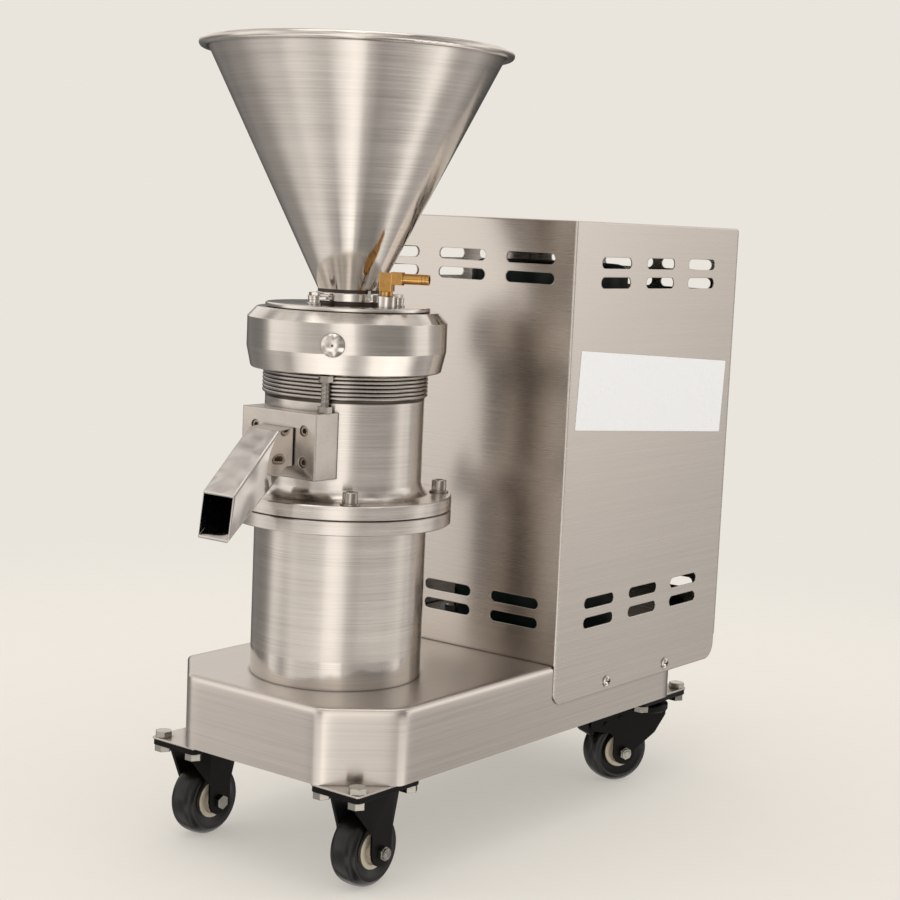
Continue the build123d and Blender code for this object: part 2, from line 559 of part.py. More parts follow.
# inner flanges that the rear panel screws to
for sx in (-1, 1):
    fl = box(CAB_HX - 16 if sx > 0 else -CAB_HX + 0.8, CAB_HX - 0.8 if sx > 0 else -CAB_HX + 16, CAB_Y1 - 1.5, CAB_Y1, 175, CAB_Z1 - 0.8)
    cab += fl
for sy in CS_Y:
    cab -= cyl_x(3.1, -CAB_HX - 1, CAB_HX + 1, sy, CS_Z)
RS_Z = (200.0, 400.0, 630.0)
for sx in (-1, 1):
    for rz in RS_Z:
        cab -= cyl_y(2.5, CAB_Y1 - 4, CAB_Y1 + 1, sx * (CAB_HX - 10), rz)
put("motor_cover", cab)

REAR_Z = (613.4, 591.4, 246.7, 225.2)
REAR_L = 28.5
rp = box(-CAB_HX, CAB_HX, CAB_Y1, CAB_Y1 + REAR_T, 165.0, CAB_Z1)
rp = fillet([e for e in rp.edges().filter_by(Axis.Y)], 4.0)
for zc in REAR_Z:
    for xc in (-82.3, 0.0, 82.3):
        rp -= slot_y(xc - REAR_L, xc + REAR_L, zc, SR + 0.3, CAB_Y1 - 2, CAB_Y1 + 4)
for sx in (-1, 1):
    for rz in RS_Z:
        rp -= cyl_y(2.5, CAB_Y1 - 4, CAB_Y1 + 4, sx * (CAB_HX - 10), rz)
GL_X, GL_Z = 96.0, 190.0
rp -= cyl_y(10.0, CAB_Y1 - 1, CAB_Y1 + 3, GL_X, GL_Z)
put("rear_panel", rp)


def pan_screw(r, h, shank_r, shank_l, xdir, at_pt, cross=True):
    """pan head screw, head outwards along xdir"""
    a = ThreePointArc((r, 0.35 * h), (r * 0.72, 0.84 * h), (0, h))
    s = revolve(face_of(Polyline((0, -shank_l), (shank_r, -shank_l), (shank_r, 0), (r, 0), (r, 0.35 * h)), a, Line((0, h), (0, -shank_l))), Axis.Z)
    if cross:
        k = 0.52 * r
        s -= box(-k, k, -0.16 * r, 0.16 * r, 0.3 * h, h + 1)
        s -= box(-0.16 * r, 0.16 * r, -k, k, 0.3 * h, h + 1)
    pl = Plane(origin=at_pt, z_dir=xdir)
    return s.moved(pl.location)


scr = []
for sx in (-1, 1):
    for sy in CS_Y:
        scr.append(pan_screw(6.1, 3.8, 2.9, 8.0, (sx, 0, 0), (sx * CAB_HX, sy, CS_Z)))
    for rz in RS_Z:
        scr.append(pan_screw(4.8, 3.0, 2.4, 6.0, (0, 1, 0), (sx * (CAB_HX - 10), CAB_Y1 + REAR_T, rz)))
put("cover_screws", *scr)

LAB_W, LAB_H = 309.0, 84.6
LAB_Y, LAB_Z = 481.0, 469.6
LAB_TILT = -3.75        # the label is stuck on slightly askew, degrees
lab = box(0, 0.35, -LAB_W / 2, LAB_W / 2, -LAB_H / 2, LAB_H / 2)
lab = fillet(lab.edges().filter_by(Axis.X), 1.2)
lab = Pos(CAB_HX, LAB_Y, LAB_Z) * Rot(LAB_TILT, 0, 0) * lab
put("blank_label", lab)

gl = (Pos(GL_X, CAB_Y1 + REAR_T, GL_Z) * Rot(-90, 0, 0) * (
    extrude(RegularPolygon(12.5, 6, major_radius=False), 6.0)
    + Pos(0, 0, 6.0) * Cylinder(9.5, 2.0, align=(Align.CENTER, Align.CENTER, Align.MIN))
    + Pos(0, 0, 7.0) * extrude(RegularPolygon(11.5, 6, major_radius=False), 8.0)
    + Pos(0, 0, 15.0) * Cone(10.8, 8.4, Y_MAX - CAB_Y1 - REAR_T - 15.0, align=(Align.CENTER, Align.CENTER, Align.MIN))))
gl += cyl_y(10.0, CAB_Y1 - 8.0, CAB_Y1 + REAR_T + 1, GL_X, GL_Z)
gl += cyl_y(13.5, CAB_Y1 - 6.0, CAB_Y1 - 0.0, GL_X, GL_Z)
gl -= cyl_y(6.0, CAB_Y1 - 12, Y_MAX + 2, GL_X, GL_Z)
put("cable_gland", gl)

# ---------------------------------------------------------------- motor
nf = 28
fins = Circle(MOT_R - 6)
for i in range(nf):
    a = i * 360 / nf
    fins += Rot(0, 0, a) * (Pos(MOT_R - 8, 0) * Rectangle(20, 2.6))
mf = Pos(0, MOT_Y, 236) * extrude(fins, 278)
mf += cyl(MOT_R - 4, 194, 236, 0, MOT_Y)
mf += cyl(112, BASE_Z1, 195, 0, MOT_Y)
mf += cyl(MOT_R - 5, 514, 526, 0, MOT_Y)
mf += box(-38, 38, MOT_Y + 86, MOT_Y + 106, 384, 470)
mf -= cyl(82, 206, 514, 0, MOT_Y)
mf -= cyl(14.06, 150, 540, 0, MOT_Y)
for a in (45, 135, 225, 315):
    mx, my = at(MB_R, a, MOT_Y)
    mf -= cyl(5.5, BASE_Z1 - 1, 196, mx, my)
    mf -= cyl(10.5, 195, 222, mx, my)
put("motor_frame", mf)

mb = []
for a in (45, 135, 225, 315):
    mx, my = at(MB_R, a, MOT_Y)
    b = hexa(16.0, 195, 201.4, mx, my, a) + cyl(5.0, 168, 196, mx, my)
    n = hexa(16.0, 171.4, BASE_Z1 - BASE_T, mx, my, a) - cyl(5.0, 160, 190, mx, my)
    mb += [b, n]
put("motor_bolts", *mb)

fc = cyl(FAN_R, 526, MOT_TOP, 0, MOT_Y)
fc = fillet(fc.edges().group_by(Axis.Z)[-1], 14.0)
fi = cyl(FAN_R - 1.5, 520, MOT_TOP - 1.5, 0, MOT_Y)
fi = fillet(fi.edges().group_by(Axis.Z)[-1], 12.5)
fc -= fi
for rr, n in ((18, 6), (32, 12), (46, 16), (60, 22)):
    for i in range(n):
        a = radians(i * 360 / n)
        fc -= cyl(4.2, MOT_TOP - 5, MOT_TOP + 1, rr * cos(a), MOT_Y + rr * sin(a))
put("motor_fan_cover", fc)

tb = box(-42, 42, MOT_Y + 106, MOT_Y + 148, 380, 474)
tb = fillet(tb.edges().filter_by(Axis.Y), 6.0)
tb = fillet(tb.faces().sort_by(Axis.Y)[-1].edges(), 2.0)
tb -= box(-38, 38, MOT_Y + 108, MOT_Y + 144, 384, 470)
put("terminal_box", tb)

ms = turned([(0, 118), (13, 118), (14, 119), (14, 236), (18, 236), (18, 250), (56, 250), (56, 470), (18, 470), (18, 486), (14, 486), (14, 556),
             (13, 557), (0, 557)], 0, MOT_Y)
put("motor_shaft", ms)
fan = tube(24, 14, 534, 556, 0, MOT_Y) + tube(80, 20, 534, 536.5, 0, MOT_Y)
for i in range(7):
    fan += Pos(0, MOT_Y, 0) * Rot(0, 0, i * 360 / 7) * box(22, 80, -1.2, 1.2, 535, 556)
put("motor_fan", fan)
put("motor_pulley", pulley(RP_MO, 14.0, 122, 160, 0, MOT_Y))


def belt_face(off):
    """racetrack outline round both pulleys at the pitch radius plus off"""
    r1, r2 = RP_SP + off, RP_MO + off
    d = MOT_Y - MILL_Y
    s = (r2 - r1) / d
    c = sqrt(1 - s * s)
    # tangent points on the right side
    p1 = (r1 * c, MILL_Y - r1 * s)
    p2 = (r2 * c, MOT_Y - r2 * s)
    w = Wire([Line(p1, p2), ThreePointArc(p2, (0, MOT_Y + r2), (-p2[0], p2[1])), Line((-p2[0], p2[1]), (-p1[0], p1[1])),
              ThreePointArc((-p1[0], p1[1]), (0, MILL_Y - r1), p1)])
    return make_face(w)


bl = []
for zb in BELT_Z:
    b = Pos(0, 0, zb - 5.0) * extrude(belt_face(2.6), 10.0) - Pos(0, 0, zb - 6.0) * extrude(belt_face(-4.8), 12.0)
    bl.append(b)
put("v_belts", *bl)

# ---------------------------------------------------------------- casters


def holes(p, cx, cy, z0, z1):
    for dx in (-1, 1):
        for dy in (-1, 1):
            p -= cyl(5.5, z0, z1, cx + dx * HOLE_DX / 2, cy + dy * HOLE_DY / 2)
    return p


def top_plate(cx, cy):
    p = box(cx - PLATE_W / 2, cx + PLATE_W / 2, cy - PLATE_L / 2, cy + PLATE_L / 2, PLATE_Z0, PLATE_Z1)
    p = fillet(p.edges().filter_by(Axis.Z), 6.0)
    return holes(p, cx, cy, PLATE_Z0 - 1, PLATE_Z1 + 1)


LEG_I = 20.8            # inner face of a fork leg from the wheel's mid plane
LEG_T = 2.7
BOSS_R = 14.0
ZA = WHEEL_R            # axle height


FOLD_Y = 14.6           # vertical folds of a rigid caster's leg
FOLD_A = 26.0           # how far the outer wedges are folded towards the wheel, degrees


def rigid_leg():
    """leg of a rigid caster for the +x side, in the wheel's own frame (x from the mid plane, y from the axle)"""
    x0, x1 = LEG_I, LEG_I + LEG_T
    zt = PLATE_Z0 + 1.0
    main = prism_x([(-FOLD_Y, zt), (FOLD_Y, zt), (FOLD_Y, ZA), (-FOLD_Y, ZA)], x0, x1)
    main += cyl_x(BOSS_R, x0, x1, 0, ZA)
    for s in (-1, 1):
        w = prism_x([(s * FOLD_Y, zt), (s * 42.6, zt), (s * 42.6, PLATE_Z0 - 4.0), (s * (FOLD_Y + 0.6), 58.0), (s * FOLD_Y, 56.0)], x0, x1)
        w = Pos(x1, s * FOLD_Y, 0) * Rot(0, 0, s * FOLD_A) * Pos(-x1, -s * FOLD_Y, 0) * w
        main += w
    main -= cyl_x(AXLE_R, x0 - 2, x1 + 2, 0, ZA)
    return main


front = []
for sx in (-1, 1):
    p = top_plate(sx * PLATE_X, PLATE_Y)
    for rot in (0, 180):
        p += Pos(sx * PLATE_X, PLATE_Y, 0) * Rot(0, 0, rot) * rigid_leg()
    front.append(p)
put("front_caster_forks", *front)


def axle(cx, cy, ang):
    """axle bolt with head, spacer collars and nut, along the wheel's axis"""
    b = cyl_x(AXLE_R, -LEG_I - LEG_T - 0.5, 32.0, 0, 0)
    b = chamfer(b.edges().sort_by(Axis.X)[-1:], 0.8)
    hx = Rot(0, 90, 0) * extrude(RegularPolygon(6.5, 6, major_radius=False), 5.0)
    b += Pos(-LEG_I - LEG_T - 5.0, 0, 0) * hx
    nt = Pos(LEG_I + LEG_T, 0, 0) * (Rot(0, 90, 0) * extrude(RegularPolygon(6.5, 6, major_radius=False), 5.0) + cyl_x(5.7, 0, 7.4, 0, 0))
    b += nt
    b += cyl_x(6.0, -LEG_I, LEG_I, 0, 0)
    return Pos(cx, cy, ZA) * Rot(0, 0, ang) * b


def tyre(cx, cy, ang):
    w = WHEEL_W / 2
    s = revolve(face_of(Line((RIM_R, -w + 2.5), (RIM_R + 8.0, -w)), Line((RIM_R + 8.0, -w), (WHEEL_R - 7.5, -w)),
                        ThreePointArc((WHEEL_R - 7.5, -w), (WHEEL_R - 1.9, -w + 4.6), (WHEEL_R - 0.35, -5.5)),
                        ThreePointArc((WHEEL_R - 0.35, -5.5), (WHEEL_R, 0), (WHEEL_R - 0.35, 5.5)),
                        ThreePointArc((WHEEL_R - 0.35, 5.5), (WHEEL_R - 1.9, w - 4.6), (WHEEL_R - 7.5, w)),
                        Line((WHEEL_R - 7.5, w), (RIM_R + 8.0, w)), Line((RIM_R + 8.0, w), (RIM_R, w - 2.5)),
                        Line((RIM_R, w - 2.5), (RIM_R, -w + 2.5))), Axis.Z)
    return Pos(cx, cy, ZA) * Rot(0, 0, ang) * Rot(0, 90, 0) * s


def hub(cx, cy, ang):
    w = WHEEL_W / 2
    s = turned([(6.07, -w - 1.2), (9.0, -w - 1.2), (9.0, -w + 4.0), (13.6, -w + 4.0), (14.4, -w + 1.2), (18.4, -w + 1.2), (RIM_R, -w + 2.4),
                (RIM_R, w - 2.4), (18.4, w - 1.2), (14.4, w - 1.2), (13.6, w - 4.0), (9.0, w - 4.0), (9.0, w + 1.2), (6.07, w + 1.2)])
    return Pos(cx, cy, ZA) * Rot(0, 0, ang) * Rot(0, 90, 0) * s


put("front_caster_axles", *[axle(sx * PLATE_X, PLATE_Y, 0 if sx > 0 else 180) for sx in (1, -1)])
put("front_tyre_right", tyre(PLATE_X, PLATE_Y, 0))
put("front_tyre_left", tyre(-PLATE_X, PLATE_Y, 180))
put("front_hub_right", hub(PLATE_X, PLATE_Y, 0))
put("front_hub_left", hub(-PLATE_X, PLATE_Y, 180))

RY = BASE_L - PLATE_Y
rear = []
for sx in (1, -1):
    cx = sx * PLATE_X
    p = top_plate(cx, RY)
    p += turned([(0, PLATE_Z0 + 0.5), (24, PLATE_Z0 + 0.5), (24, 96.0), (20, 93.6), (0, 93.6)], cx, RY)
    p += cyl(7.0, 84.0, 96, cx, RY)
    p += turned([(0, 80.4), (10.5, 80.4), (11.5, 81.4), (11.5, 83.6), (0, 83.6)], cx, RY)
    p += cyl(7.0, 83.0, 85.0, cx, RY)
    rear.append(p)
put("rear_caster_plates", *rear)


PED_Y, PED_Z = -62.0, 74.2      # brake pedal's pivot in the fork's frame


def swivel(cx, ang):
    """trailing fork: crown under the plate, two legs sweeping back to the axle; local -y is the trailing side"""
    f = turned([(7.06, 84.2), (29.0, 84.2), (30.2, 86.0), (30.2, 91.6), (28.4, 93.2), (7.06, 93.2)])
    f += box(-LEG_I - LEG_T, LEG_I + LEG_T, -TRAIL + 2, 18.5, 84.2, 87.4)
    f -= cyl(7.06, 80, 96)
    for s in (-1, 1):
        x0 = LEG_I if s > 0 else -LEG_I - LEG_T
        leg = prism_x([(18.5, 89.4), (18.5, 81.0), (5.0, 60.0), (-TRAIL + 14.0, ZA + 2), (-TRAIL - 13.9, ZA + 1), (-48.8, 57.0), (-55.0, 62.6), (-76.0, 66.5),
                       (-79.5, 70.0), (-80.5, 79.0), (-74.0, 86.0), (-30.0, 89.4)], x0, x0 + LEG_T)
        leg = fillet([e for e in leg.edges().filter_by(Axis.X) if e.center().Y < -70 or e.center().Y > 17], 2.4)
        leg += cyl_x(BOSS_R, x0, x0 + LEG_T, -TRAIL, ZA)
        f += leg
    for s in (-1, 1):
        x0 = LEG_I if s > 0 else -LEG_I - LEG_T
        f -= cyl_x(AXLE_R, x0 - 2, x0 + LEG_T + 2, -TRAIL, ZA)
    # cross pin between the legs with flat heads, and the holes of the pedal's pin
    f += cyl_x(2.4, -LEG_I - LEG_T - 1.0, LEG_I + LEG_T + 1.0, -42.0, 80.4)
    for s in (-1, 1):
        xo = s * (LEG_I + LEG_T)
        f += cyl_x(3.2, min(xo - s * 0.5, xo + s * 1.0), max(xo - s * 0.5, xo + s * 1.0), -42.0, 80.4)
    f -= cyl_x(2.5, -40, 40, PED_Y, PED_Z)
    return Pos(cx, RY, 0) * Rot(0, 0, ang) * f


put("rear_fork_right", swivel(PLATE_X, SWIVEL_R))
put("rear_fork_left", swivel(-PLATE_X, SWIVEL_L))


def wheel_c(cx, ang):
    a = radians(ang)
    return cx + TRAIL * sin(a), RY - TRAIL * cos(a)


wr = wheel_c(PLATE_X, SWIVEL_R)
wl = wheel_c(-PLATE_X, SWIVEL_L)
put("rear_axle_right", axle(*wr, SWIVEL_R))
put("rear_axle_left", axle(*wl, SWIVEL_L + 180))
put("rear_tyre_right", tyre(*wr, SWIVEL_R))
put("rear_tyre_left", tyre(*wl, SWIVEL_L + 180))
put("rear_hub_right", hub(*wr, SWIVEL_R))
put("rear_hub_left", hub(*wl, SWIVEL_L + 180))

def pedal(cx, ang):
    """foot pedal with its pivot pin and brake lug; turns about the pin between the fork legs"""
    p = cyl_x(2.44, -LEG_I - LEG_T - 1.4, LEG_I + LEG_T + 1.4, PED_Y, PED_Z)
    p += cyl_x(4.4, -LEG_I + 0.5, LEG_I - 0.5, PED_Y, PED_Z)
    arm = prism_x([(-58.5, 79.0), (-70.0, 82.0), (-88.0, 80.5), (-99.0, 75.6), (-98.2, 72.2), (-87.0, 75.2), (-80.6, 72.6), (-79.2, 62.0),
                   (-76.5, 58.8), (-72.8, 60.5), (-71.0, 68.0), (-60.0, 69.6)], -15.0, 15.0)
    arm = fillet([e for e in arm.edges().filter_by(Axis.X) if e.center().Y < -97.5], 1.2)
    p += arm
    return Pos(cx, RY, 0) * Rot(0, 0, ang) * p


put("brake_pedal_right", pedal(PLATE_X, SWIVEL_R))
put("brake_pedal_left", pedal(-PLATE_X, SWIVEL_L))

cb = []
for bx, by in bolt_pts:
    ax, ay = abs(bx), (by if by < BASE_L / 2 else BASE_L - by)
    outside = ay < (ax - (HW - BASE_CX)) * BASE_CY / BASE_CX - 6
    if outside:
        # hexagon head on the corner plate, beside the chamfered wall
        hd = hexa(16.0, BASE_Z0, BASE_Z0 + 6.4, bx, by, 20) + cyl(BOLT_R, 91.0, BASE_Z0 + 1, bx, by)
    else:
        # low round head inside the base
        hd = cyl(5.25, BASE_Z0 + BASE_T, BASE_Z0 + BASE_T + 2.6, bx, by) + cyl(BOLT_R, 91.0, BASE_Z0 + BASE_T + 1, bx, by)
    nt = Pos(bx, by, PLATE_Z0 - 7.0) * extrude(RegularPolygon(8.0, 6, major_radius=False), 7.0)
    nt -= cyl(BOLT_R, 80, 110, bx, by)
    cb += [hd, nt]
put("caster_bolts", *cb)

print("nodes", len(NODES), "YC", YC)
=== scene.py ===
import math

import bmesh
import bpy
from mathutils import Matrix, Vector

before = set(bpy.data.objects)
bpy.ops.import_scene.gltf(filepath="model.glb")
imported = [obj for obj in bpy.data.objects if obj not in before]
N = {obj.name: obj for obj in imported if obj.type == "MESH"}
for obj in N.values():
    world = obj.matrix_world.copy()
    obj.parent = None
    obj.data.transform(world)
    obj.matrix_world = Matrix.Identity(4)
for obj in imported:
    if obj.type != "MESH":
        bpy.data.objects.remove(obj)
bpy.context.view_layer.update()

YC = 304.6                      # mm, from the modelling frame (base front at y = 0) to the part's frame
MILL = Vector((0.0, (124.4 - YC) / 1000, 0.0))


def P(x, y, z):
    """modelling frame in mm to the part's frame in metres"""
    return Vector((x / 1000, (y - YC) / 1000, z / 1000))


# ------------------------------------------------------------------ camera, solved from the photograph
yaw, pitch, roll = math.radians(37.65), math.radians(7.07), math.radians(2.52)
fwd = Vector((-math.sin(yaw) * math.cos(pitch), math.cos(yaw) * math.cos(pitch), -math.sin(pitch)))
right = Vector((math.cos(yaw), math.sin(yaw), 0.0))
up = right.cross(fwd)
r2 = math.cos(roll) * right + math.sin(roll) * up
u2 = -math.sin(roll) * right + math.cos(roll) * up
cam_data = bpy.data.cameras.new("camera")
cam = bpy.data.objects.new("camera", cam_data)
bpy.context.scene.collection.objects.link(cam)
cam.matrix_world = Matrix((
    (r2.x, u2.x, -fwd.x, 1.22796),
    (r2.y, u2.y, -fwd.y, (-1287.46 - YC) / 1000),
    (r2.z, u2.z, -fwd.z, 0.6507),
    (0, 0, 0, 1)))
cam_data.lens = 73.30
cam_data.sensor_width = 36.0
cam_data.clip_start, cam_data.clip_end = 0.05, 60.0
bpy.context.scene.camera = cam


# ------------------------------------------------------------------ node helpers
class Nodes:
    """small helper for writing node trees"""

    def __init__(self, tree):
        self.t = tree
        tree.nodes.clear()

    def new(self, kind, ins=None, **props):
        n = self.t.nodes.new(kind)
        for k, v in props.items():
            setattr(n, k, v)
        for k, v in (ins or {}).items():
            self.put(n, k, v)
        return n

    def put(self, n, key, v):
        s = n.inputs[key]
        if isinstance(v, bpy.types.NodeSocket):
            self.t.links.new(v, s)
        elif isinstance(v, bpy.types.Node):
            self.t.links.new(v.outputs[0], s)
        else:
            s.default_value = v

    def math(self, op, a, b=0.0, c=None, clamp=False):
        n = self.new("ShaderNodeMath", operation=op, use_clamp=clamp)
        self.put(n, 0, a)
        self.put(n, 1, b)
        if c is not None:
            self.put(n, 2, c)
        return n.outputs[0]

    def ramp(self, fac, stops, mode="LINEAR"):
        n = self.new("ShaderNodeValToRGB", {"Fac": fac})
        cr = n.color_ramp
        cr.interpolation = mode
        while len(cr.elements) > 1:
            cr.elements.remove(cr.elements[-1])
        for i, (pos, col) in enumerate(stops):
            c = (col, col, col, 1) if isinstance(col, (int, float)) else (*col[:3], 1)
            if i == 0:
                cr.elements[0].position = pos
                cr.elements[0].color = c
            else:
                cr.elements.new(pos).color = c
        return n.outputs[0]

    def mapr(self, v, a, b, lo, hi, smooth=False):
        n = self.new("ShaderNodeMapRange", {"Value": v, 1: a, 2: b, 3: lo, 4: hi})
        if smooth:
            n.interpolation_type = "SMOOTHSTEP"
        return n.outputs[0]

    def noise(self, vec, scale=1.0, detail=3.0, rough=0.5, dist=0.0):
        n = self.new("ShaderNodeTexNoise", {"Scale": scale, "Detail": detail, "Roughness": rough, "Distortion": dist})
        if vec is not None:
            self.put(n, "Vector", vec)
        return n.outputs[0]

    def mixc(self, f, a, b, blend="MIX"):
        n = self.new("ShaderNodeMix", data_type="RGBA", blend_type=blend)
        self.put(n, 0, f)
        for i, v in ((6, a), (7, b)):
            if isinstance(v, (tuple, list)):
                v = (*v[:3], 1.0)
            self.put(n, i, v)
        return n.outputs[2]

    def mixf(self, f, a, b):
        n = self.new("ShaderNodeMix", data_type="FLOAT")
        self.put(n, 0, f)
        self.put(n, 2, a)
        self.put(n, 3, b)
        return n.outputs[0]

    def comb(self, x, y, z):
        return self.new("ShaderNodeCombineXYZ", {0: x, 1: y, 2: z}).outputs[0]


def material(name):
    m = bpy.data.materials.new(name)
    m.use_nodes = True
    g = Nodes(m.node_tree)
    out = g.new("ShaderNodeOutputMaterial")
    b = g.new("ShaderNodeBsdfPrincipled")
    m.node_tree.links.new(b.outputs[0], out.inputs[0])
    return m, g, b


def position(g):
    tc = g.new("ShaderNodeTexCoord")
    s = g.new("ShaderNodeSeparateXYZ", {0: tc.outputs["Object"]})
    return tc.outputs["Object"], s.outputs[0], s.outputs[1], s.outputs[2]


def painted_contact_shade(g, col, reach, dark=(0.035, 0.030, 0.026)):
    """painted shade: the colour darkened by ambient occlusion where two pieces meet and in creases, in place of
    contact shadow
    """
    ao = g.new("ShaderNodeAmbientOcclusion", {"Distance": reach}, samples=4)
    return g.mixc(g.mapr(ao.outputs["AO"], 0.30, 0.85, 0.15, 1.0), dark, col)


def bump(g, b, height, strength, dist, normal=None):
    n = g.new("ShaderNodeBump", {"Height": height, "Strength": strength, "Distance": dist})
    if normal is not None:
        g.put(n, "Normal", normal)
    g.put(b, "Normal", n.outputs[0])
    return n


def bent(g, obj, planes, reach):
    """normal of a folded sheet: each face's own direction, blended softly where two of them meet"""
    total = None
    for nx, ny, nz, c in planes:
        d = g.new("ShaderNodeVectorMath", {0: obj, 1: (nx, ny, nz)}, operation="DOT_PRODUCT").outputs["Value"]
        w = g.math("EXPONENT", g.math("DIVIDE", g.math("SUBTRACT", d, c), reach))
        v = g.new("ShaderNodeVectorMath", operation="SCALE")
        v.inputs[0].default_value = (nx, ny, nz)
        g.put(v, "Scale", w)
        total = v.outputs[0] if total is None else g.new("ShaderNodeVectorMath", {0: total, 1: v.outputs[0]}, operation="ADD").outputs[0]
    n = g.new("ShaderNodeVectorMath", {0: total}, operation="NORMALIZE").outputs[0]
    own = g.new("ShaderNodeNewGeometry").outputs["Normal"]
    agree = g.new("ShaderNodeVectorMath", {0: own, 1: n}, operation="DOT_PRODUCT").outputs["Value"]
    m = g.new("ShaderNodeMix", data_type="VECTOR")
    g.put(m, 0, g.mapr(agree, 0.60, 0.80, 0.0, 1.0)); g.put(m, 4, own); g.put(m, 5, n)
    return g.new("ShaderNodeVectorMath", {0: m.outputs[1]}, operation="NORMALIZE").outputs[0]


def prism(corners, top):
    """planes of an upright block: its corners in order seen from above (modelling frame, mm) and its top"""
    out = [(0.0, 0.0, 1.0, top / 1000)]
    for i, a in enumerate(corners):
        b = corners[(i + 1) % len(corners)]
        p, q = P(a[0], a[1], 0), P(b[0], b[1], 0)
        n = Vector((q.y - p.y, p.x - q.x, 0)).normalized()
        out.append((n.x, n.y, 0.0, n.dot(p)))
    return out


# ------------------------------------------------------------------ materials
def brushed_panel(name, base=(0.62, 0.575, 0.535), rough=0.30, aniso=0.75, grain=1.0, bevel=0.0012, freq=1400.0, flat_rough=0.10, planes=None, reach=0.004):
    """sheet steel with the grain running level on upright faces and front to back on flat ones"""
    m, g, b = material(name)
    obj, x, y, z = position(g)
    nz = g.new("ShaderNodeSeparateXYZ", {0: g.new("ShaderNodeNewGeometry").outputs["Normal"]}).outputs[2]
    flat = g.mapr(g.math("ABSOLUTE", nz), 0.55, 0.8, 0.0, 1.0)
    up_v = g.comb(g.math("MULTIPLY", x, 9.0), g.math("MULTIPLY", y, 9.0), g.math("MULTIPLY", z, freq))
    fl_v = g.comb(g.math("MULTIPLY", x, freq), g.math("MULTIPLY", y, 9.0), g.math("MULTIPLY", z, 9.0))
    vec = g.new("ShaderNodeMix", data_type="VECTOR")
    g.put(vec, 0, flat); g.put(vec, 4, up_v); g.put(vec, 5, fl_v)
    vec = vec.outputs[1]
    fine = g.noise(vec, 1.0, 5.0, 0.62)
    coarse = g.noise(vec, 0.16, 2.0, 0.5)
    cloud = g.noise(obj, 5.0, 2.0, 0.5)
    f = g.math("ADD", g.math("MULTIPLY", fine, 0.7), g.math("MULTIPLY", coarse, 0.3))
    dark = tuple(c * (1 - 0.10 * grain) for c in base)
    lite = tuple(min(1, c * (1 + 0.08 * grain)) for c in base)
    col = g.ramp(f, [(0.30, dark), (0.50, base), (0.70, lite)])
    col = g.mixc(g.mapr(cloud, 0.3, 0.7, 0.0, 0.10), col, (base[0] * 0.86, base[1] * 0.84, base[2] * 0.82))
    # painted shade: base colour darkened by ambient occlusion where pieces meet
    g.put(b, "Base Color", painted_contact_shade(g, col, 0.0045))
    b.inputs["Metallic"].default_value = 1.0
    g.put(b, "Roughness", g.math("ADD", g.mapr(f, 0.3, 0.7, rough - 0.035, rough + 0.045), g.math("MULTIPLY", flat, flat_rough)))
    b.inputs["Anisotropic"].default_value = aniso
    b.inputs["Anisotropic Rotation"].default_value = 0.25
    tan = g.new("ShaderNodeTangent", direction_type="RADIAL", axis="Z")
    tm = g.new("ShaderNodeMix", data_type="VECTOR")
    g.put(tm, 0, flat); g.put(tm, 4, tan.outputs[0]); g.put(tm, 5, (1.0, 0.0, 0.0))
    g.put(b, "Tangent", tm.outputs[1])
    nrm = g.new("ShaderNodeBevel", {"Radius": bevel}, samples=4).outputs[0] if bevel else None
    if planes:
        nrm = bent(g, obj, planes, reach)
    bump(g, b, f, 0.07 * grain, 0.0002, nrm)
    return m


